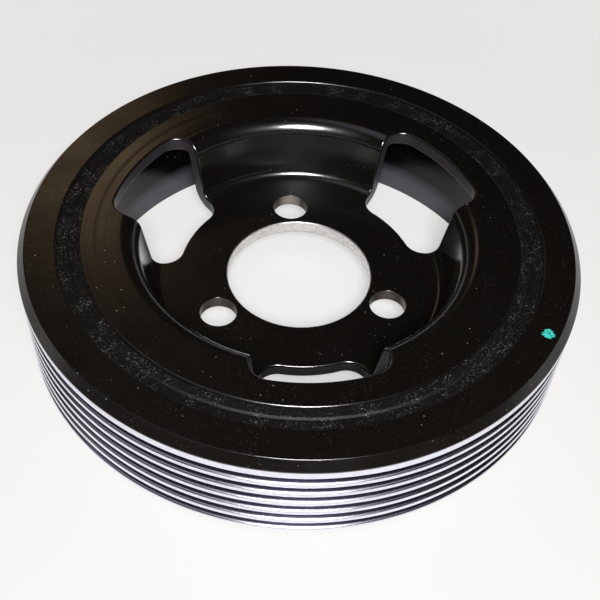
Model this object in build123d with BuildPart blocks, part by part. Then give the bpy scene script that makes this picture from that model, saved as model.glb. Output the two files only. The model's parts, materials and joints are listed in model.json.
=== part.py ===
from build123d import *

import os
from math import atan2, radians, tan

# Crankshaft pulley with a rubber-bonded belt ring.
# The frame is in millimetres. Z is the pulley's axis and points out of the open cup.
# The origin is on the axis, in the plane of the bottom rim that the pulley lies on.
# The radii are built up from the crankshaft bore outward, and the heights from the bottom rim.

# Fastening to the crankshaft
hub_bore_radius = 18.0
hub_bore_chamfer = 0.3
bolt_count = 3
bolt_hole_radius = 4.5
bore_to_hole_land = 1.5
first_bolt_angle = 90

# Pressed hub
sheet_thickness = 3.5
crank_seat_rise = 7.0
hole_to_wall_land = 8.2
wall_lean = 2.8
flange_width = 13.3
floor_bend_radius = 2.5
mouth_bend_radius = 1.0
rim_inner_chamfer = 0.6
rim_outer_chamfer = 1.5

# Windows in the cup, one midway between each two bolts
window_floor_reach = 6.5
window_flange_reach = 6.8
window_half_angle = 21.5
window_corner_radius = 5.0

# Seat turned in the hub's rim for the rubber's lip
seat_width = 2.9
seat_depth = 1.0
seat_edge_chamfer = 0.5

# Rubber between the hub and the belt ring
rubber_thickness = 2.1
rubber_lip_width = 2.2
rubber_top_recess = 0.45
rubber_bottom_recess = 2.0
rubber_ridge_drop = 0.4

# Belt ring
ring_wall = 9.2
ring_bore_chamfer = 0.6
top_bevel_width = 1.75
top_bevel_height = 2.1
top_shoulder = 3.87
bottom_shoulder = 1.27
bottom_edge_chamfer = 1.2

# Grooves for the ribbed belt
groove_count = 6
groove_pitch = 3.56
groove_angle = 40
groove_depth = 2.6
groove_root_width = 0.4

# Radii, from the bore to the belt face
bolt_circle_radius = hub_bore_radius + bore_to_hole_land + bolt_hole_radius
cup_floor_radius = bolt_circle_radius + bolt_hole_radius + hole_to_wall_land
cup_mouth_radius = cup_floor_radius + wall_lean
seat_radius = cup_mouth_radius + flange_width
skirt_radius = seat_radius + seat_width
skirt_inner_radius = skirt_radius - sheet_thickness
ring_bore_radius = skirt_radius + rubber_thickness
belt_radius = ring_bore_radius + ring_wall

# Heights, from the bottom rim to the top face
face_height = bottom_shoulder + groove_count * groove_pitch + top_shoulder
floor_underside = crank_seat_rise
floor_top = floor_underside + sheet_thickness
flange_underside = face_height - sheet_thickness
seat_height = face_height - seat_depth
rubber_top = face_height - rubber_top_recess

# The cup's wall leans outward, which moves the underside's corners out from those above
wall_angle = atan2(face_height - floor_top, wall_lean)
underside_shift = sheet_thickness * tan(wall_angle / 2)

# Windows
window_inner_radius = cup_floor_radius - window_floor_reach
window_outer_radius = cup_mouth_radius + window_flange_reach
first_window_angle = first_bolt_angle - 180 / bolt_count

# Grooves
groove_root_radius = belt_radius - groove_depth
root_half_width = groove_root_width / 2
mouth_half_width = root_half_width + groove_depth * tan(radians(groove_angle / 2))


def closed_outline(corners):
    """Draw one closed outline through (radius, height, bend radius) corners."""
    points = [(radius, height) for radius, height, bend in corners]
    bends = [bend for radius, height, bend in corners]
    FilletPolyline(*points, radius=bends, close=True)


# Hub: the sheet's upper side from the bore to the skirt's foot, and its underside back
hub_upper_side = [
    (hub_bore_radius, floor_top - hub_bore_chamfer, 0),
    (hub_bore_radius + hub_bore_chamfer, floor_top, 0),
    (cup_floor_radius, floor_top, floor_bend_radius),
    (cup_mouth_radius, face_height, mouth_bend_radius + sheet_thickness),
    (seat_radius - seat_edge_chamfer, face_height, 0),
    (seat_radius, face_height - seat_edge_chamfer, 0),
    (seat_radius, seat_height, 0),
    (skirt_radius - rim_outer_chamfer, seat_height, 0),
    (skirt_radius, seat_height - rim_outer_chamfer, 0),
    (skirt_radius, 0, 0),
]
hub_underside = [
    (skirt_inner_radius, 0, 0),
    (skirt_inner_radius, flange_underside - rim_inner_chamfer, 0),
    (skirt_inner_radius - rim_inner_chamfer, flange_underside, 0),
    (cup_mouth_radius + underside_shift, flange_underside, mouth_bend_radius),
    (cup_floor_radius + underside_shift, floor_underside, floor_bend_radius + sheet_thickness),
    (hub_bore_radius + hub_bore_chamfer, floor_underside, 0),
    (hub_bore_radius, floor_underside + hub_bore_chamfer, 0),
]

with BuildSketch() as window_outline:
    with BuildLine():
        inner_edge = CenterArc((0, 0), window_inner_radius, -window_half_angle, 2 * window_half_angle)
        outer_edge = CenterArc((0, 0), window_outer_radius, -window_half_angle, 2 * window_half_angle)
        Line(inner_edge @ 0, outer_edge @ 0)
        Line(inner_edge @ 1, outer_edge @ 1)
    make_face()
    fillet(window_outline.vertices(), window_corner_radius)

with BuildPart() as hub:
    with BuildSketch(Plane.XZ):
        with BuildLine():
            closed_outline(hub_upper_side + hub_underside)
        make_face()
    revolve(axis=Axis.Z)
    with BuildSketch(Plane.XY.offset(floor_top)):
        with PolarLocations(bolt_circle_radius, bolt_count, start_angle=first_bolt_angle):
            Circle(bolt_hole_radius)
    extrude(amount=-sheet_thickness, mode=Mode.SUBTRACT)
    with BuildSketch(Plane.XY):
        with PolarLocations(0, bolt_count, start_angle=first_window_angle):
            add(window_outline.sketch)
    extrude(amount=face_height, mode=Mode.SUBTRACT)

# Rubber ring: fills the gap between skirt and belt ring, with a lip on the hub's turned seat
rubber_section = [
    (seat_radius, seat_height, 0),
    (seat_radius, rubber_top, 0),
    (seat_radius + rubber_lip_width, rubber_top, 0),
    (seat_radius + rubber_lip_width + rubber_ridge_drop, rubber_top - rubber_ridge_drop, 0),
    (ring_bore_radius, face_height - ring_bore_chamfer, 0),
    (ring_bore_radius, rubber_bottom_recess, 0),
    (skirt_radius, rubber_bottom_recess, 0),
    (skirt_radius, seat_height - rim_outer_chamfer, 0),
    (skirt_radius - rim_outer_chamfer, seat_height, 0),
]

with BuildPart() as rubber_ring:
    with BuildSketch(Plane.XZ):
        with BuildLine():
            closed_outline(rubber_section)
        make_face()
    revolve(axis=Axis.Z)

# Belt ring: the bore and top face, then the belt face from the top groove down
belt_side = []
for groove in range(groove_count):
    groove_middle = face_height - top_shoulder - (groove + 0.5) * groove_pitch
    belt_side += [
        (belt_radius, groove_middle + mouth_half_width, 0),
        (groove_root_radius, groove_middle + root_half_width, 0),
        (groove_root_radius, groove_middle - root_half_width, 0),
        (belt_radius, groove_middle - mouth_half_width, 0),
    ]

ring_section = [
    (ring_bore_radius + ring_bore_chamfer, 0, 0),
    (ring_bore_radius, ring_bore_chamfer, 0),
    (ring_bore_radius, face_height - ring_bore_chamfer, 0),
    (ring_bore_radius + ring_bore_chamfer, face_height, 0),
    (belt_radius - top_bevel_width, face_height, 0),
    (belt_radius, face_height - top_bevel_height, 0),
    *belt_side,
    (belt_radius, bottom_edge_chamfer, 0),
    (belt_radius - bottom_edge_chamfer, 0, 0),
]

with BuildPart() as belt_ring:
    with BuildSketch(Plane.XZ):
        with BuildLine():
            closed_outline(ring_section)
        make_face()
    revolve(axis=Axis.Z)

# Name each piece and write it out
hub.part.label = "hub"
rubber_ring.part.label = "rubber_ring"
belt_ring.part.label = "belt_ring"

os.makedirs("parts", exist_ok=True)
export_step(hub.part, "parts/hub.step")
export_step(rubber_ring.part, "parts/rubber_ring.step")
export_step(belt_ring.part, "parts/belt_ring.step")
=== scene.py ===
import json
import math

import bpy
import numpy as np
from mathutils import Matrix, Vector
from mathutils.geometry import delaunay_2d_cdt


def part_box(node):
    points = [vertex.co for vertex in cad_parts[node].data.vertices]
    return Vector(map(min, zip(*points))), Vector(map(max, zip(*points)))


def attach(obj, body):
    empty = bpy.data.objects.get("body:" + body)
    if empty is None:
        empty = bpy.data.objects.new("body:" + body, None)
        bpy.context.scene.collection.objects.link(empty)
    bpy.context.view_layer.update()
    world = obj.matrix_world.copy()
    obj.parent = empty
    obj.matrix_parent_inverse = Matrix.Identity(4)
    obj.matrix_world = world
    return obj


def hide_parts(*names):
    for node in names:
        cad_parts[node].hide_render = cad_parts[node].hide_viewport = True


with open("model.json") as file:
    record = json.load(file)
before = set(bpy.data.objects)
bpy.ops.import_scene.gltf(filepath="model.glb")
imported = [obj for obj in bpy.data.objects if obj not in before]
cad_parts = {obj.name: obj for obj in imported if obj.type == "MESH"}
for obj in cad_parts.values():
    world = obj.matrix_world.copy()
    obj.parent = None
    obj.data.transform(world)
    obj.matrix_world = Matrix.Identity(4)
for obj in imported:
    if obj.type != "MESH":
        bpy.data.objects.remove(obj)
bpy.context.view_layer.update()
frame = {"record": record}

# Sizes below are millimetres in the part's own frame: Z is the pulley's axis, 0 is the bottom rim
MM = 0.001

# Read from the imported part, so that the looks sit where the part's own faces are
mounts = {mount["name"]: mount for mount in frame["record"]["mounts"]}
hub_bore_radius = mounts["crank_bore"]["dims"]["r_mm"]
bolt_count = mounts["crank_bolts"]["dims"]["count"]
bolt_circle_radius = mounts["crank_bolts"]["dims"]["pcd_mm"] / 2
bolt_hole_radius = mounts["crank_bolts"]["dims"]["hole_r_mm"]
floor_underside = mounts["crank_seat"]["pos_m"][2] / MM
floor_top = mounts["bolt_head_face"]["pos_m"][2] / MM
groove_count = mounts["belt_track"]["dims"]["count"]
face_height = round(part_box("belt_ring")[1].z / MM, 2)
belt_radius = round(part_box("belt_ring")[1].x / MM, 2)
skirt_radius = round(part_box("hub")[1].x / MM, 2)
ring_bore_radius = round(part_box("rubber_ring")[1].x / MM, 2)
rubber_top = round(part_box("rubber_ring")[1].z / MM, 2)
rubber_bottom = round(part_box("rubber_ring")[0].z / MM, 2)

# Pressed hub
first_bolt_angle = 90
sheet_thickness = floor_top - floor_underside
cup_floor_radius = 36.7
cup_mouth_radius = 39.5
floor_bend_radius = 2.5
mouth_bend_radius = 1.0
rim_inner_radius = skirt_radius - sheet_thickness
rim_inner_bend = 0.6
rim_outer_chamfer = 1.5
seat_radius = 52.8
seat_height = face_height - 1.0
seat_edge = 0.5
window_inner_radius = 30.2
window_outer_radius = 46.3
window_half_angle = 21.5
window_corner_radius = 5.0

# Rubber
rubber_lip_radius = seat_radius + 2.2
rubber_ridge_drop = 0.4

# Belt ring
ring_bore_edge = 0.6
top_bevel_width = 1.75
top_bevel_height = 2.1
top_shoulder = 3.87
bottom_chamfer = 1.2
groove_pitch = 3.56
groove_depth = 2.6
groove_root_width = 0.4
groove_angle = 40

# Fine rounding that the looks add at the part's sharp corners
punched_edge_round = 0.5
punched_exit_round = 0.3
drilled_edge_break = 0.15
drilled_exit_break = 0.45
bore_edge_break = 0.3
machined_corner = 0.12
rubber_lip_round = 0.2
rubber_slope_round = 0.1
rubber_end_round = 0.3
rib_tip_round = 0.5
rib_root_round = 0.18
painted_corner = 0.3

# The enamel runs this far over the belt face
paint_overlap = 0.3

# Dab of marking paint on the belt ring's top face, placed as in the photo
paint_dab_radius = 62.8
paint_dab_angle = math.radians(-27.0)
paint_dab_size = 2.5
paint_dab_edge = 0.15
paint_dab_raggedness = 1.6

# Mesh fineness: steps round the axis, spacings, rows, degrees for each step of a bend, tolerances
hub_steps = 240
ring_steps = 288
sheet_join_radius = 50.0
window_spacing = 0.7
bolt_hole_spacing = 0.5
edge_rows = 4
bend_step = 7.5
sheet_bend_step = 6.0
edge_step = 18.0
smallest_bend = 1.0
weld_distance = 1e-4
plan_tolerance = 1e-5
closest_samples = 1e-3
same_place = 1e-6
same_angle = 1e-7
face_tolerance = 0.05

# Camera: found by fitting the photo's circles, then turned so that +Y goes through a bolt hole
photo_turn = math.radians(-8.467)
camera_lens = 58.46
camera_elevation = 0.845897
camera_roll = 0.0679398
camera_distance = 233.817
camera_right = -0.4683
camera_up = -17.652
camera_sensor_width = 36.0
camera_clip_start = 0.01

# How far the paper looks an even white: beside the pulley, through its holes, far away, and mirrored
paper_evenness = 0.75
paper_evenness_through_holes = 0.6
paper_evenness_far = 0.92
paper_evenness_mirrored = 0.3
paper_near_radius = 120.0
paper_far_radius = 260.0
paper_size = 6000.0
paper_gap = 0.02

# Backdrop round the paper, in degrees above the floor
backdrop_top = 2.0
backdrop_end = 7.0

# Pale parts of the room that the gloss mirrors: azimuth, elevation, inner and outer reach, colour
room_patches = (
    (197.5, 39.5, 0, 7, "#e2c093"),
    (249, 70, 8, 24, "#9a9aa6"),
)

# Key light, in degrees, metres and watts
key_azimuth = 5.0
key_elevation = 48
key_distance = 0.42
key_size = 0.14
key_power = 2.3


def srgb(code):
    """Turn a colour written as sRGB hex into the linear values that a shader takes."""
    channels = [int(code[i : i + 2], 16) / 255 for i in (1, 3, 5)]
    linear = [c / 12.92 if c <= 0.04045 else ((c + 0.055) / 1.055) ** 2.4 for c in channels]
    return (*linear, 1.0)


def wire(tree, node, inputs):
    """Give a node's sockets their values or links."""
    for key, value in inputs.items():
        if isinstance(value, bpy.types.NodeSocket):
            tree.links.new(value, node.inputs[key])
        else:
            node.inputs[key].default_value = value


def add(tree, kind, inputs=None, output=0, **settings):
    """Add one shader node with its properties and sockets set. Gives one of its outputs."""
    node = tree.nodes.new("ShaderNode" + kind)
    for key, value in settings.items():
        setattr(node, key, value)
    wire(tree, node, inputs or {})
    return node.outputs[output]


def rounded(corners, step=bend_step):
    """Walk through (radius, height, bend) corners with the material on the right.
    Gives the points of the path and the outward normal at each."""
    places = np.array([(radius, height) for radius, height, bend in corners], float)
    ways = np.diff(places, axis=0)
    ways /= np.linalg.norm(ways, axis=1)[:, None]
    points = [places[0]]
    normals = [np.array((-ways[0][1], ways[0][0]))]
    for index in range(1, len(corners) - 1):
        before, after = ways[index - 1], ways[index]
        bend = corners[index][2]
        turn = math.atan2(before[0] * after[1] - before[1] * after[0], before @ after)
        side = math.copysign(1.0, turn)
        foot = places[index] - before * bend * math.tan(abs(turn) / 2)
        left = np.array((-before[1], before[0]))
        centre = foot + left * bend * side
        pace = step if bend >= smallest_bend else edge_step
        count = max(2, math.ceil(math.degrees(abs(turn)) / pace))
        for part in range(count + 1):
            angle = turn * part / count
            spin = np.array(((math.cos(angle), -math.sin(angle)), (math.sin(angle), math.cos(angle))))
            normal = spin @ left
            points.append(centre - normal * bend * side)
            normals.append(normal)
    points.append(places[-1])
    normals.append(np.array((-ways[-1][1], ways[-1][0])))
    return np.array(points), np.array(normals)


def turned(points, normals, steps):
    """Turn a profile about Z. Gives vertices, normals and faces."""
    angles = np.arange(steps) * 2 * math.pi / steps
    across = np.stack((np.cos(angles), np.sin(angles)), axis=1)
    rows = len(points)
    swept = []
    for section in (points, normals):
        level = across[:, None, :] * section[None, :, :1]
        upright = np.broadcast_to(section[None, :, 1:], (steps, rows, 1))
        swept.append(np.concatenate((level, upright), axis=2).reshape(-1, 3))
    k, j = np.meshgrid(np.arange(steps), np.arange(rows - 1), indexing="ij")
    here = k.ravel() * rows + j.ravel()
    beside = (k.ravel() + 1) % steps * rows + j.ravel()
    faces = np.stack((here, here + 1, beside + 1, beside), axis=1)
    return swept[0], swept[1], faces


def build_mesh(name, patches, materials):
    """Join patches of (vertices, normals, faces, finish index) into one smooth mesh object.
    Points that lie together are welded, and every face is turned to agree with its normals."""
    vertices = np.concatenate([patch[0] for patch in patches])
    normals = np.concatenate([patch[1] for patch in patches])
    faces, finishes, start = [], [], 0
    for patch in patches:
        faces += [tuple(int(i) + start for i in face) for face in patch[2]]
        finish = patch[3]
        finishes += [finish] * len(patch[2]) if np.isscalar(finish) else [int(f) for f in finish]
        start += len(patch[0])
    keys = np.round(vertices / weld_distance).astype(np.int64)
    unused, first, where = np.unique(keys, axis=0, return_index=True, return_inverse=True)
    where = where.ravel()
    vertices, normals = vertices[first], normals[first]
    kept, kept_finishes = [], []
    for face, finish in zip(faces, finishes):
        corners = []
        for i in face:
            if int(where[i]) not in corners:
                corners.append(int(where[i]))
        if len(corners) < 3:
            continue
        a, b, c = vertices[corners[0]], vertices[corners[1]], vertices[corners[2]]
        facing = np.cross(b - a, c - a)
        if facing @ normals[corners].sum(axis=0) < 0:
            corners.reverse()
        kept.append(corners)
        kept_finishes.append(finish)
    mesh = bpy.data.meshes.new(name)
    mesh.from_pydata((vertices * MM).tolist(), [], kept)
    for material in materials:
        mesh.materials.append(material)
    mesh.polygons.foreach_set("material_index", kept_finishes)
    mesh.polygons.foreach_set("use_smooth", [True] * len(kept))
    mesh.validate()
    mesh.update()
    lengths = np.linalg.norm(normals, axis=1)[:, None]
    mesh.normals_split_custom_set_from_vertices((normals / lengths).tolist())
    made = bpy.data.objects.new(name, mesh)
    bpy.context.scene.collection.objects.link(made)
    return made


def places_on(tree):
    """Wire an object's own places into sockets, in millimetres. Its section holds the radius, the height
    and the cosine of the angle round the axis."""
    metres = add(tree, "TexCoord", output="Object")
    point = add(tree, "VectorMath", {0: metres, 1: (1 / MM, 1 / MM, 1 / MM)}, operation="MULTIPLY")
    x, y, height = add(tree, "SeparateXYZ", {0: point}).node.outputs
    flat = add(tree, "CombineXYZ", {0: x, 1: y})
    radius = add(tree, "VectorMath", {0: flat}, "Value", operation="LENGTH")
    outward = add(tree, "VectorMath", {0: flat}, operation="NORMALIZE")
    cosine, sine = add(tree, "SeparateXYZ", {0: outward}).node.outputs[:2]
    section = add(tree, "CombineXYZ", {0: radius, 1: height, 2: cosine})
    return {"point": point, "radius": radius, "height": height, "section": section, "sine": sine}


def start_material(name):
    """Start a material. Gives it, its node tree, its shader and the places on its surface."""
    material = bpy.data.materials.new(name)
    material.use_nodes = True
    tree = material.node_tree
    return material, tree, tree.nodes["Principled BSDF"], places_on(tree)


def circular_lines(tree, place, per_millimetre, arc, detail):
    """Noise drawn out into circular lines round the axis. A greater arc breaks them into shorter strokes."""
    drawn = add(tree, "VectorMath", {0: place["section"], 1: (1, 1, arc)}, operation="MULTIPLY")
    around = add(tree, "Math", {0: place["sine"], 1: arc}, operation="MULTIPLY")
    inputs = {"Vector": drawn, "W": around, "Scale": per_millimetre, "Detail": detail}
    return add(tree, "TexNoise", inputs, noise_dimensions="4D")


# Most of a noise pattern's values lie between these two
noise_low = 0.3
noise_high = 0.7

# Dust on the enamel: cells and patches per millimetre, and a speck's radius as a share of its cell
dust_colour = "#8a857c"
coarse_dust = {"cells": 0.45, "radius": 0.075, "patches": 0.10, "clean": 0.45, "dusty": 0.62}
fine_dust = {"cells": 1.50, "radius": 0.16, "patches": 0.13, "clean": 0.38, "dusty": 0.60}
fine_dust_strength = 0.22


def dust_specks(tree, point, cells, radius, patches, clean, dusty):
    """Sparse round specks of dust, none where the patch noise is clean and most where it is dusty."""
    speck = add(tree, "TexVoronoi", {"Vector": point, "Scale": cells, "Randomness": 1.0}, "Distance")
    speck = add(tree, "MapRange", {0: speck, 1: radius * 0.6, 2: radius, 3: 1.0, 4: 0.0})
    patch = add(tree, "TexNoise", {"Vector": point, "Scale": patches, "Detail": 4.0})
    patch = add(tree, "MapRange", {0: patch, 1: clean, 2: dusty, 3: 0.0, 4: 1.0})
    return add(tree, "Math", {0: speck, 1: patch}, operation="MULTIPLY")


def with_paint_dab(tree, point, shade):
    """Lay the dab of marking paint over a colour, with an uneven edge and flecks that it missed."""
    angle = photo_turn + paint_dab_angle
    middle = (paint_dab_radius * math.cos(angle), paint_dab_radius * math.sin(angle), face_height)
    apart = add(tree, "VectorMath", {0: point, 1: middle}, "Value", operation="DISTANCE")
    edge = add(tree, "TexNoise", {"Vector": point, "Scale": 1.1, "Detail": 3.0})
    inputs = {0: edge, 1: -paint_dab_raggedness, 2: paint_dab_raggedness / 2}
    edge = add(tree, "Math", inputs, operation="MULTIPLY_ADD")
    reach = add(tree, "Math", {0: apart, 1: edge}, operation="ADD")
    full = paint_dab_size / 2
    dab = add(tree, "MapRange", {0: reach, 1: full, 2: full + paint_dab_edge, 3: 1.0, 4: 0.0})
    missed = add(tree, "TexNoise", {"Vector": point, "Scale": 2.4, "Detail": 1.0})
    covered = add(tree, "MapRange", {0: missed, 1: 0.54, 2: 0.60, 3: 1.0, 4: 0.1})
    dab = add(tree, "Math", {0: dab, 1: covered}, operation="MULTIPLY")
    return add(tree, "Mix", {0: dab, 6: shade, 7: srgb("#45d3c4")}, 2, data_type="RGBA")


def with_painted_reflection_below(tree, place, shade, reflection_below):
    """Paint a grey reflection of the lit paper inside the skirt, more and more below this height."""
    low = add(tree, "MapRange", {0: place["height"], 1: reflection_below - 4.0, 2: reflection_below, 3: 1.0, 4: 0.0})
    inputs = {0: place["radius"], 1: rim_inner_radius - 1.0, 2: rim_inner_radius - 0.5, 3: 0.0, 4: 1.0}
    on_skirt = add(tree, "MapRange", inputs)
    reflected_share = add(tree, "Math", {0: low, 1: on_skirt}, operation="MULTIPLY")
    return add(tree, "Mix", {0: reflected_share, 6: shade, 7: srgb("#46434a")}, 2, data_type="RGBA")


def painted(
    name, colour, roughness, line_height, specular=0.5, coat=0.0, wave_height=0.0, reflection_below=0.0, dab=False
):
    """Baked enamel, with dust, handling marks, the ripple of the spray and lines of the metal below."""
    material, tree, shader, place = start_material(name)
    point = place["point"]
    coarse = dust_specks(tree, point, **coarse_dust)
    fine = dust_specks(tree, point, **fine_dust)
    fine = add(tree, "Math", {0: fine, 1: fine_dust_strength}, operation="MULTIPLY")
    dust = add(tree, "Math", {0: coarse, 1: fine}, operation="MAXIMUM")
    shade = add(tree, "Mix", {0: dust, 6: srgb(colour), 7: srgb(dust_colour)}, 2, data_type="RGBA")
    if dab:
        shade = with_paint_dab(tree, point, shade)
    # Painted reflection: the lit paper mirrored low inside the skirt, painted in as grey
    if reflection_below:
        shade = with_painted_reflection_below(tree, place, shade, reflection_below)
    # Handling marks about 11 mm across, where the gloss wanders a little
    marks = add(tree, "TexNoise", {"Vector": point, "Scale": 0.09, "Detail": 5.0})
    inputs = {0: marks, 1: noise_low, 2: noise_high, 3: roughness - 0.03, 4: roughness + 0.04}
    gloss = add(tree, "MapRange", inputs)
    # Ripple 1.4 mm long and 0.012 mm high in the sprayed coat, and lines 0.6 mm apart from die or tool
    ripple = add(tree, "TexNoise", {"Vector": point, "Scale": 0.7, "Detail": 2.0})
    ripple = add(tree, "Math", {0: ripple, 1: 0.012}, operation="MULTIPLY")
    lines = circular_lines(tree, place, 1.8, 6.0, 3.0)
    lines = add(tree, "Math", {0: lines, 1: line_height}, operation="MULTIPLY")
    height = add(tree, "Math", {0: ripple, 1: lines}, operation="ADD")
    if wave_height:
        # Shallow rings 2.4 mm apart that pressing leaves in the flange, and hardly any in the cup
        waves = circular_lines(tree, place, 0.42, 1.0, 1.0)
        inputs = {0: place["radius"], 1: cup_mouth_radius + 1, 2: cup_mouth_radius + 5, 3: 0.08, 4: 1.0}
        on_flange = add(tree, "MapRange", inputs)
        waves = add(tree, "Math", {0: waves, 1: on_flange}, operation="MULTIPLY")
        waves = add(tree, "Math", {0: waves, 1: wave_height}, operation="MULTIPLY")
        height = add(tree, "Math", {0: waves, 1: height}, operation="ADD")
    bump = add(tree, "Bump", {"Strength": 1.0, "Distance": MM, "Height": height})
    wire(tree, shader, {"Base Color": shade, "Roughness": gloss, "Normal": bump})
    wire(tree, shader, {"Specular IOR Level": specular, "Coat Weight": coat, "Coat Roughness": 0.15})
    return material


def bare(name, colour, roughness, lines_per_millimetre, line_height, stain_amount, groove_shade_radius=0.0):
    """Bare machined steel, with circular tool lines and faint stains. The lines are 0.25 to 0.33 mm apart,
    coarser than a real feed of about 0.1 mm, so that they show."""
    material, tree, shader, place = start_material(name)
    lines = circular_lines(tree, place, lines_per_millimetre, 0.3, 2.0)
    stain = add(tree, "TexNoise", {"Vector": place["point"], "Scale": 0.9, "Detail": 5.0})
    stain = add(tree, "MapRange", {0: stain, 1: 0.45, 2: 0.70, 3: 0.0, 4: stain_amount})
    shade = add(tree, "Mix", {0: stain, 6: srgb(colour), 7: srgb("#7d7670")}, 2, data_type="RGBA")
    if groove_shade_radius:
        # Deep in the grooves the steel is painted a dark blue: painted shade, where the grooves lie in
        # shadow
        inputs = {0: place["radius"], 1: groove_shade_radius - 0.12, 2: groove_shade_radius, 3: 1.0, 4: 0.0}
        painted_groove_shade = add(tree, "MapRange", inputs)
        shade = add(tree, "Mix", {0: painted_groove_shade, 6: shade, 7: srgb("#3a3746")}, 2, data_type="RGBA")
    inputs = {0: lines, 1: noise_low, 2: noise_high, 3: roughness - 0.04, 4: roughness + 0.06}
    gloss = add(tree, "MapRange", inputs)
    height = add(tree, "Math", {0: lines, 1: line_height}, operation="MULTIPLY")
    bump = add(tree, "Bump", {"Strength": 1.0, "Distance": MM, "Height": height})
    round_axis = add(tree, "Tangent", direction_type="RADIAL", axis="Z")
    wire(tree, shader, {"Base Color": shade, "Roughness": gloss, "Normal": bump, "Tangent": round_axis})
    wire(tree, shader, {"Metallic": 1.0, "Anisotropic": 0.5, "Anisotropic Rotation": 0.25})
    return material


def moulded(name, colour):
    """Moulded rubber: a grain 0.6 mm wide, and smudges of dust that gather in patches of about 5 mm."""
    material, tree, shader, place = start_material(name)
    point = place["point"]
    grain = add(tree, "TexNoise", {"Vector": point, "Scale": 1.8, "Detail": 6.0, "Roughness": 0.7})
    greyed = add(tree, "MapRange", {0: grain, 1: 0.45, 2: 0.75, 3: 0.0, 4: 0.3})
    shade = add(tree, "Mix", {0: greyed, 6: srgb(colour), 7: srgb("#1a1816")}, 2, data_type="RGBA")
    patch = add(tree, "TexNoise", {"Vector": point, "Scale": 0.22, "Detail": 3.0})
    patch = add(tree, "MapRange", {0: patch, 1: 0.45, 2: 0.65, 3: 0.15, 4: 1.0})
    smudge = add(tree, "TexNoise", {"Vector": point, "Scale": 3.2, "Detail": 3.0})
    smudge = add(tree, "MapRange", {0: smudge, 1: 0.58, 2: 0.66, 3: 0.0, 4: 1.0})
    smudge = add(tree, "Math", {0: smudge, 1: patch}, operation="MULTIPLY")
    smudge = add(tree, "Math", {0: smudge, 1: 0.6}, operation="MULTIPLY")
    shade = add(tree, "Mix", {0: smudge, 6: shade, 7: srgb("#8b867f")}, 2, data_type="RGBA")
    height = add(tree, "Math", {0: grain, 1: 0.10}, operation="MULTIPLY")
    bump = add(tree, "Bump", {"Strength": 1.0, "Distance": MM, "Height": height})
    wire(tree, shader, {"Base Color": shade, "Normal": bump, "Roughness": 0.5, "Specular IOR Level": 0.3})
    return material


# Gloss enamel baked on pressed steel: near black with a warm cast, clear soft highlights, faint rings
hub_enamel = painted(
    "black_enamel_on_pressed_steel", "#0d0a08", 0.20, 0.006, specular=1.0, coat=0.6, wave_height=0.16
)
# The same enamel on machined cast iron: flatter and even, with pale dust and the dab of paint
ring_enamel = painted("black_enamel_on_cast_iron", "#0f0c0a", 0.19, 0.004, specular=0.8, dab=True)
# Steel turned with a fine feed: silver, satin, with light drawn out along the grooves, and painted shade
# deep in them
turned_steel = bare("turned_belt_face", "#e3e3ee", 0.22, 3.0, 0.004, 0.12, groove_shade_radius=belt_radius - 0.45)
# Steel bored with a coarser tool: duller silver with fine circular scratches and stains
bored_steel = bare("bored_steel", "#e8e5e3", 0.42, 4.0, 0.012, 0.30)
# Enamel on the hub's hollow side: painted shade keeps it darker, a painted reflection greys it low down
hub_inside = painted("thin_enamel_inside_the_hub", "#070606", 0.12, 0.006, specular=0.25, reflection_below=9.0)
# Steel left by the drill in the bolt holes: warm grey, dull and stained
drilled_steel = bare("drilled_steel", "#a0968f", 0.45, 4.0, 0.012, 0.5)
# Punched steel with a little enamel on it: a dark grey satin band round each window
punched_steel = painted("thin_coat_on_punched_edge", "#322e32", 0.36, 0.010)
# Moulded rubber: matt black, greyed by dust that sits in its skin
rubber = moulded("dusty_moulded_rubber", "#080706")


# Hub profile: the sheet's upper side from the bore edge outward, then the underside, then the rim
wall_angle = math.atan2(face_height - floor_top, cup_mouth_radius - cup_floor_radius)
underside_shift = sheet_thickness * math.tan(wall_angle / 2)
flange_underside = face_height - sheet_thickness
upper_points, upper_normals = rounded(
    [
        (hub_bore_radius + bore_edge_break, floor_top, 0),
        (cup_floor_radius, floor_top, floor_bend_radius),
        (cup_mouth_radius, face_height, mouth_bend_radius + sheet_thickness),
        (sheet_join_radius, face_height, 0),
    ],
    step=sheet_bend_step,
)
lower_points, lower_normals = rounded(
    [
        (sheet_join_radius, flange_underside, 0),
        (cup_mouth_radius + underside_shift, flange_underside, mouth_bend_radius),
        (cup_floor_radius + underside_shift, floor_underside, floor_bend_radius + sheet_thickness),
        (hub_bore_radius + bore_edge_break, floor_underside, 0),
    ],
    step=sheet_bend_step,
)
rim_points, rim_normals = rounded(
    [
        (sheet_join_radius, face_height, 0),
        (seat_radius, face_height, seat_edge),
        (seat_radius, seat_height, machined_corner),
        (skirt_radius - rim_outer_chamfer, seat_height, painted_corner),
        (skirt_radius, seat_height - rim_outer_chamfer, painted_corner),
        (skirt_radius, 0, painted_corner),
        (rim_inner_radius, 0, painted_corner),
        (rim_inner_radius, flange_underside, rim_inner_bend),
        (sheet_join_radius, flange_underside, 0),
    ]
)


def lift(points, profile, profile_normals):
    """Lift plan points onto one side of the sheet. Gives their places and normals."""
    order = np.argsort(profile[:, 0])
    radius = np.linalg.norm(points, axis=1)
    radial = np.interp(radius, profile[order, 0], profile_normals[order, 0])
    axial = np.interp(radius, profile[order, 0], profile_normals[order, 1])
    height = np.interp(radius, profile[order, 0], profile[order, 1])
    outward = points / radius[:, None]
    normals = np.column_stack((outward * radial[:, None], axial))
    normals /= np.linalg.norm(normals, axis=1)[:, None]
    return np.column_stack((points, height)), normals


def arc(centre, radius, start, end):
    """A stretch of a hole's outline: an arc, given by the angles of its outward direction."""

    def at(share):
        away = polar(1, start + (end - start) * share)
        return centre + away * radius, away

    return at, abs(radius * math.radians(end - start))


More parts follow.
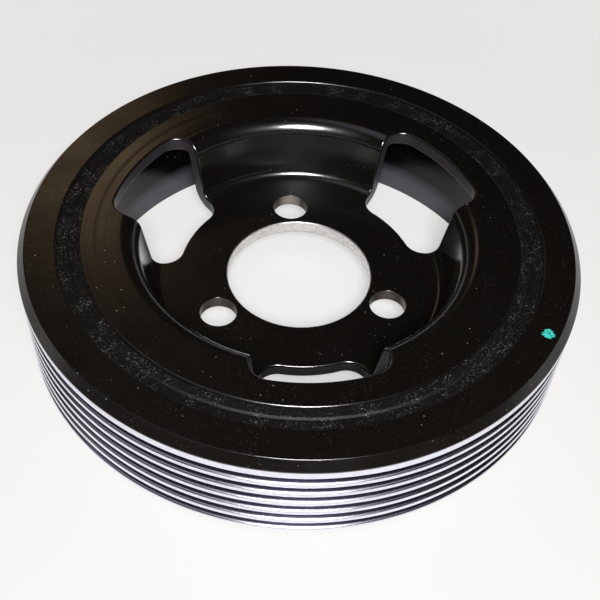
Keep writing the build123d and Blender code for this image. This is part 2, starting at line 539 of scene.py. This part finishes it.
def straight(first, last, away):
    """A straight stretch of a hole's outline."""

    def at(share):
        return first + (last - first) * share, away

    return at, float(np.linalg.norm(last - first))


def polar(radius, angle):
    """A place in plan, from its radius and its angle in degrees."""
    return np.array((radius * math.cos(math.radians(angle)), radius * math.sin(math.radians(angle))))


def window_stretches(middle):
    """A window's outline, round the window whose middle lies at this angle."""
    outer_centre = window_outer_radius - window_corner_radius
    inner_centre = window_inner_radius + window_corner_radius
    outer_angle = window_half_angle - math.degrees(math.asin(window_corner_radius / outer_centre))
    inner_angle = window_half_angle - math.degrees(math.asin(window_corner_radius / inner_centre))
    outer_foot = math.sqrt(outer_centre**2 - window_corner_radius**2)
    inner_foot = math.sqrt(inner_centre**2 - window_corner_radius**2)
    low, high = middle - window_half_angle, middle + window_half_angle
    back = middle + 180
    bend = window_corner_radius
    centre = np.zeros(2)
    return [
        arc(centre, -window_inner_radius, back + inner_angle, back - inner_angle),
        arc(polar(inner_centre, middle - inner_angle), bend, back - inner_angle, low + 270),
        straight(polar(inner_foot, low), polar(outer_foot, low), polar(1, low - 90)),
        arc(polar(outer_centre, middle - outer_angle), bend, low - 90, middle - outer_angle),
        arc(centre, window_outer_radius, middle - outer_angle, middle + outer_angle),
        arc(polar(outer_centre, middle + outer_angle), bend, middle + outer_angle, high + 90),
        straight(polar(outer_foot, high), polar(inner_foot, high), polar(1, high + 90)),
        arc(polar(inner_centre, middle + inner_angle), bend, high + 90, back + inner_angle),
    ]


def crossings(at, first, last, offset, ring):
    """Where the offset copy of a stretch crosses a ring between two shares of its length, if it does."""

    def beyond(share):
        place, away = at(share)
        return np.linalg.norm(place + away * offset) - ring

    if beyond(first) * beyond(last) >= 0:
        return []
    rising = beyond(last) > 0
    for halving in range(40):
        half = (first + last) / 2
        if (beyond(half) > 0) == rising:
            last = half
        else:
            first = half
    return [(first + last) / 2]


def sample_outline(stretches, spacing, offsets, ring_lists):
    """Sample an outline, with extra samples where its offset copies cross the rings."""
    places, aways = [], []
    for at, length in stretches:
        count = max(4, math.ceil(length / spacing))
        ends = [part / count for part in range(count)] + [1.0]
        extra = []
        for offset, rings in zip(offsets, ring_lists):
            for first, last in zip(ends[:-1], ends[1:]):
                for ring in rings:
                    extra += crossings(at, first, last, offset, ring)
        for share in sorted(ends[:-1] + extra):
            place, away = at(share)
            if places and np.linalg.norm(place - places[-1]) < closest_samples:
                continue
            places.append(place)
            aways.append(away)
    return np.array(places), np.array(aways)


def inside(points, loop):
    """Which points lie inside a closed loop, by counting crossings."""
    x, y = points[:, 0], points[:, 1]
    result = np.zeros(len(points), bool)
    for (ax, ay), (bx, by) in zip(loop, np.roll(loop, -1, axis=0)):
        if ay == by:
            continue
        crosses = (ay > y) != (by > y)
        result ^= crosses & (x < (bx - ax) * (y - ay) / (by - ay) + ax)
    return result


def sheet_patch(profile, profile_normals, loops, open_bore, finish):
    """Mesh one side of the sheet in plan, with the loops left open, and lift it to its height."""
    rings = sorted(set(np.round(profile[:, 0], 6)))
    base = np.arange(hub_steps) * 2 * math.pi / hub_steps
    points, edges = [], []

    def add_loop(places):
        start = len(points)
        points.extend(places.tolist())
        edges.extend((start + i, start + (i + 1) % len(places)) for i in range(len(places)))

    for loop in loops:
        add_loop(loop)
    for ring in rings:
        crossing = []
        for loop in loops:
            on_ring = np.abs(np.linalg.norm(loop, axis=1) - ring) < same_place
            crossing += np.arctan2(loop[on_ring, 1], loop[on_ring, 0]).tolist()
        angles = np.sort(np.concatenate((base, np.mod(crossing, 2 * math.pi))))
        angles = angles[np.concatenate(([True], np.diff(angles) > same_angle))]
        add_loop(np.column_stack((ring * np.cos(angles), ring * np.sin(angles))))
    corners = [Vector(point) for point in points]
    flat, unused_edges, triangles, *unused = delaunay_2d_cdt(corners, edges, [], 0, plan_tolerance)
    flat = np.array([tuple(point) for point in flat])
    triangles = np.array([tuple(triangle) for triangle in triangles])
    middles = flat[triangles].mean(axis=1)
    keep = np.linalg.norm(middles, axis=1) > open_bore
    for loop in loops:
        keep &= ~inside(middles, loop)
    places, normals = lift(flat, profile, profile_normals)
    return places, normals, triangles[keep], finish


def cut_patch(places, aways, upper_round, lower_round, finish, edge_finish):
    """The wall of a hole through the sheet, with a rounded edge above and below."""
    rows, row_normals = [], []
    angles = [math.pi / 2 * row / edge_rows for row in range(edge_rows + 1)]
    sides = (
        (angles, upper_round, upper_points, upper_normals),
        (angles[::-1], lower_round, lower_points, lower_normals),
    )
    away = np.column_stack((aways, np.zeros(len(aways))))
    for side_angles, radius, profile, profile_normals in sides:
        for angle in side_angles:
            base, normal = lift(places + aways * radius * (1 - math.sin(angle)), profile, profile_normals)
            rows.append(base - normal * radius * (1 - math.cos(angle)))
            row_normals.append(normal * math.cos(angle) - away * math.sin(angle))
    count = len(places)
    faces, finishes = [], []
    for row in range(len(rows) - 1):
        start, below = row * count, (row + 1) * count
        for i in range(count):
            after = (i + 1) % count
            faces.append((start + i, start + after, below + after, below + i))
            finishes.append(finish if row == edge_rows else edge_finish)
    return np.concatenate(rows), np.concatenate(row_normals), faces, finishes


# Hub: its cut walls, the two sides of its sheet, its rim and its bore
ENAMELLED, BORED, PUNCHED, HOLLOW, DRILLED = range(5)
hub_finishes = [hub_enamel, bored_steel, punched_steel, hub_inside, drilled_steel]
upper_rings = sorted(set(np.round(upper_points[:, 0], 6)))
lower_rings = sorted(set(np.round(lower_points[:, 0], 6)))
hub_patches = []
upper_loops, lower_loops = [], []
for index in range(bolt_count):
    bolt_angle = first_bolt_angle + index * 360 / bolt_count
    window = window_stretches(bolt_angle - 180 / bolt_count)
    bolt_hole = [arc(polar(bolt_circle_radius, bolt_angle), bolt_hole_radius, 0, 360)]
    for stretches, spacing, upper_round, lower_round, finish in (
        (window, window_spacing, punched_edge_round, punched_exit_round, PUNCHED),
        (bolt_hole, bolt_hole_spacing, drilled_edge_break, drilled_exit_break, DRILLED),
    ):
        offsets = (upper_round, lower_round)
        places, aways = sample_outline(stretches, spacing, offsets, (upper_rings, lower_rings))
        hub_patches.append(cut_patch(places, aways, upper_round, lower_round, finish, ENAMELLED))
        upper_loops.append(places + aways * upper_round)
        lower_loops.append(places + aways * lower_round)

open_bore = hub_bore_radius + bore_edge_break * 0.9
hub_patches.append(sheet_patch(upper_points, upper_normals, upper_loops, open_bore, ENAMELLED))
hub_patches.append(sheet_patch(lower_points, lower_normals, lower_loops, open_bore, HOLLOW))
rim_vertices, rim_facing, rim_faces = turned(rim_points, rim_normals, hub_steps)
rim_middles = rim_vertices[rim_faces].mean(axis=1)
in_hollow = np.linalg.norm(rim_middles[:, :2], axis=1) < rim_inner_radius + face_tolerance
in_hollow &= rim_middles[:, 2] < seat_height
hub_patches.append((rim_vertices, rim_facing, rim_faces, np.where(in_hollow, HOLLOW, ENAMELLED)))
# The bend is a hair smaller than its chamfer, so that no two points of the profile fall together
bore_edge_bend = bore_edge_break * 0.999
bore_points, bore_normals = rounded(
    [
        (hub_bore_radius + bore_edge_break, floor_underside, 0),
        (hub_bore_radius, floor_underside, bore_edge_bend),
        (hub_bore_radius, floor_top, bore_edge_bend),
        (hub_bore_radius + bore_edge_break, floor_top, 0),
    ]
)
bore_vertices, bore_facing, bore_faces = turned(bore_points, bore_normals, hub_steps)
low_edge = bore_vertices[bore_faces][:, :, 2].mean(axis=1) < floor_underside + bore_edge_break
hub_patches.append((bore_vertices, bore_facing, bore_faces, np.where(low_edge, ENAMELLED, BORED)))
hub_look = build_mesh("painted_hub", hub_patches, hub_finishes)

# Rubber ring: its profile starts and ends half way up the side that is bonded to the skirt
rubber_middle = (rubber_bottom + rubber_top) / 2
rubber_points, rubber_normals = rounded(
    [
        (skirt_radius, rubber_middle, 0),
        (skirt_radius, seat_height - rim_outer_chamfer, painted_corner),
        (skirt_radius - rim_outer_chamfer, seat_height, painted_corner),
        (seat_radius, seat_height, machined_corner),
        (seat_radius, rubber_top, rubber_lip_round),
        (rubber_lip_radius, rubber_top, rubber_lip_round),
        (rubber_lip_radius + rubber_ridge_drop, rubber_top - rubber_ridge_drop, rubber_lip_round),
        (ring_bore_radius, face_height - ring_bore_edge, rubber_slope_round),
        (ring_bore_radius, rubber_bottom, rubber_end_round),
        (skirt_radius, rubber_bottom, rubber_end_round),
        (skirt_radius, rubber_middle, 0),
    ]
)
rubber_patch = (*turned(rubber_points, rubber_normals, ring_steps), 0)
rubber_look = build_mesh("moulded_rubber_ring", [rubber_patch], [rubber])

# Belt ring: bare turned steel on the belt face, enamel elsewhere
groove_root_radius = belt_radius - groove_depth
root_half_width = groove_root_width / 2
mouth_half_width = root_half_width + groove_depth * math.tan(math.radians(groove_angle / 2))
belt_face_top = face_height - top_bevel_height - paint_overlap
ring_corners = [
    (ring_bore_radius, face_height / 2, 0),
    (ring_bore_radius, face_height, ring_bore_edge),
    (belt_radius - top_bevel_width, face_height, painted_corner),
    (belt_radius, face_height - top_bevel_height, painted_corner),
    (belt_radius, belt_face_top, painted_corner),
]
for groove in range(groove_count):
    middle = face_height - top_shoulder - (groove + 0.5) * groove_pitch
    ring_corners += [
        (belt_radius, middle + mouth_half_width, rib_tip_round),
        (groove_root_radius, middle + root_half_width, rib_root_round),
        (groove_root_radius, middle - root_half_width, rib_root_round),
        (belt_radius, middle - mouth_half_width, rib_tip_round),
    ]
ring_corners += [
    (belt_radius, bottom_chamfer, painted_corner),
    (belt_radius - bottom_chamfer, 0, painted_corner),
    (ring_bore_radius, 0, ring_bore_edge),
    (ring_bore_radius, face_height / 2, 0),
]
ring_points, ring_normals = rounded(ring_corners)
ring_vertices, ring_facing, ring_faces = turned(ring_points, ring_normals, ring_steps)
face_middles = ring_vertices[ring_faces].mean(axis=1)
on_belt = np.linalg.norm(face_middles[:, :2], axis=1) > groove_root_radius - face_tolerance
on_belt &= (face_middles[:, 2] < belt_face_top) & (face_middles[:, 2] > bottom_chamfer)
ring_patch = (ring_vertices, ring_facing, ring_faces, on_belt.astype(int))
ring_look = build_mesh("grooved_belt_ring", [ring_patch], [ring_enamel, turned_steel])

for look, node, slot in (
    (hub_look, "hub", "black_enamel"),
    (rubber_look, "rubber_ring", "rubber"),
    (ring_look, "belt_ring", "black_enamel"),
):
    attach(look, "root")
    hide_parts(node)

# Paper under the pulley: matt and white, and seen as one bright ground. Partly it is an even white, more
# so further away, which makes up for the light's fall with distance. The rest takes the pulley's shadow
paper, tree, shader, place = start_material("pale_paper")
wire(tree, shader, {"Base Color": srgb("#efeeed"), "Roughness": 0.9, "Specular IOR Level": 0.2})
radius = place["radius"]
inputs = {0: radius, 1: paper_near_radius, 2: paper_far_radius, 3: paper_evenness, 4: paper_evenness_far}
beside = add(tree, "MapRange", inputs)
inputs = {0: radius, 1: skirt_radius, 2: ring_bore_radius, 3: paper_evenness_through_holes, 4: beside}
for_camera = add(tree, "MapRange", inputs)
inputs = {0: radius, 1: skirt_radius, 2: ring_bore_radius, 3: 0.0, 4: paper_evenness_mirrored}
for_mirrors = add(tree, "MapRange", inputs)
rays = add(tree, "LightPath").node.outputs
mirrored = add(tree, "Math", {0: rays["Is Glossy Ray"], 1: rays["Is Transmission Ray"]}, operation="MAXIMUM")
mirrored = add(tree, "Math", {0: mirrored, 1: for_mirrors}, operation="MULTIPLY")
share = add(tree, "Math", {0: rays["Is Camera Ray"], 1: for_camera, 2: mirrored}, operation="MULTIPLY_ADD")
even_white = add(tree, "Emission", {"Color": srgb("#f1f0ee"), "Strength": 1.0})
surface = add(tree, "MixShader", {0: share, 1: shader.outputs[0], 2: even_white})
wire(tree, tree.nodes["Material Output"], {"Surface": surface})
bpy.ops.mesh.primitive_plane_add(size=paper_size * MM, location=(0, 0, -paper_gap * MM))
floor = bpy.context.object
floor.name = "paper_floor"
floor.data.materials.append(paper)

# Directions round the pulley as the photo sees it: azimuth 0 is on the camera's side, 90 on the right
to_photo = Matrix.Rotation(photo_turn, 3, "Z")


def way_to(azimuth, elevation):
    """The direction from the pulley to a place in the room, from two angles in degrees."""
    level = math.cos(math.radians(elevation))
    way = (math.sin(math.radians(azimuth)) * level, -math.cos(math.radians(azimuth)) * level)
    return to_photo @ Vector((*way, math.sin(math.radians(elevation))))


# World: a dim room whose pale parts show only in the gloss, and a pale backdrop behind the paper
world = bpy.data.worlds.new("dim_room")
bpy.context.scene.world = world
world.use_nodes = True
tree = world.node_tree
gaze = add(tree, "TexCoord", output="Generated")
room = srgb("#161514")
for azimuth, elevation, inner, outer, colour in room_patches:
    inputs = {0: gaze, 1: tuple(way_to(azimuth, elevation))}
    facing = add(tree, "VectorMath", inputs, "Value", operation="DOT_PRODUCT")
    edge, middle = math.cos(math.radians(outer)), math.cos(math.radians(inner))
    inputs = {0: facing, 1: edge, 2: middle, 3: 0.0, 4: 1.0}
    pale = add(tree, "MapRange", inputs, interpolation_type="SMOOTHSTEP")
    room = add(tree, "Mix", {0: pale, 6: room, 7: srgb(colour)}, 2, data_type="RGBA")
height = add(tree, "SeparateXYZ", {0: gaze}, 2)
low, high = math.sin(math.radians(backdrop_top)), math.sin(math.radians(backdrop_end))
backdrop = add(tree, "MapRange", {0: height, 1: low, 2: high, 3: 1.0, 4: 0.0})
rays = add(tree, "LightPath").node.outputs
backdrop = add(tree, "Math", {0: backdrop, 1: rays["Is Camera Ray"]}, operation="MAXIMUM")
room = add(tree, "Mix", {0: backdrop, 6: room, 7: srgb("#e2e1df")}, 2, data_type="RGBA")
seen = add(tree, "Math", {0: rays["Is Glossy Ray"], 1: rays["Is Transmission Ray"]}, operation="MAXIMUM")
seen = add(tree, "Math", {0: seen, 1: rays["Is Camera Ray"]}, operation="MAXIMUM")
room = add(tree, "Mix", {0: seen, 6: srgb("#262524"), 7: room}, 2, data_type="RGBA")
wire(tree, tree.nodes["Background"], {"Color": room, "Strength": 1.0})

# Camera
back = Vector((0, -math.cos(camera_elevation), math.sin(camera_elevation)))
level_right = Vector((1, 0, 0))
level_up = back.cross(level_right)
right = level_right * math.cos(camera_roll) + level_up * math.sin(camera_roll)
up = -level_right * math.sin(camera_roll) + level_up * math.cos(camera_roll)
camera_place = to_photo @ (back * camera_distance + right * camera_right + up * camera_up)
camera_place += Vector((0, 0, face_height))
axes = Matrix((to_photo @ right, to_photo @ up, to_photo @ back)).transposed()
camera = bpy.data.objects.new("camera", bpy.data.cameras.new("camera"))
bpy.context.scene.collection.objects.link(camera)
camera.matrix_world = Matrix.Translation(camera_place * MM) @ axes.to_4x4()
camera.data.lens = camera_lens
camera.data.sensor_width = camera_sensor_width
camera.data.clip_start = camera_clip_start
bpy.context.scene.camera = camera

# Key light: one round softbox behind the camera, a little to the right of it
key = bpy.data.lights.new("key_softbox", "AREA")
key.shape = "DISK"
key.size = key_size
key.energy = key_power
lamp = bpy.data.objects.new("key_softbox", key)
bpy.context.scene.collection.objects.link(lamp)
lamp.location = way_to(key_azimuth, key_elevation) * key_distance
lamp.rotation_euler = way_to(key_azimuth, key_elevation).to_track_quat("Z", "Y").to_euler()

bpy.context.scene.view_settings.view_transform = "Standard"
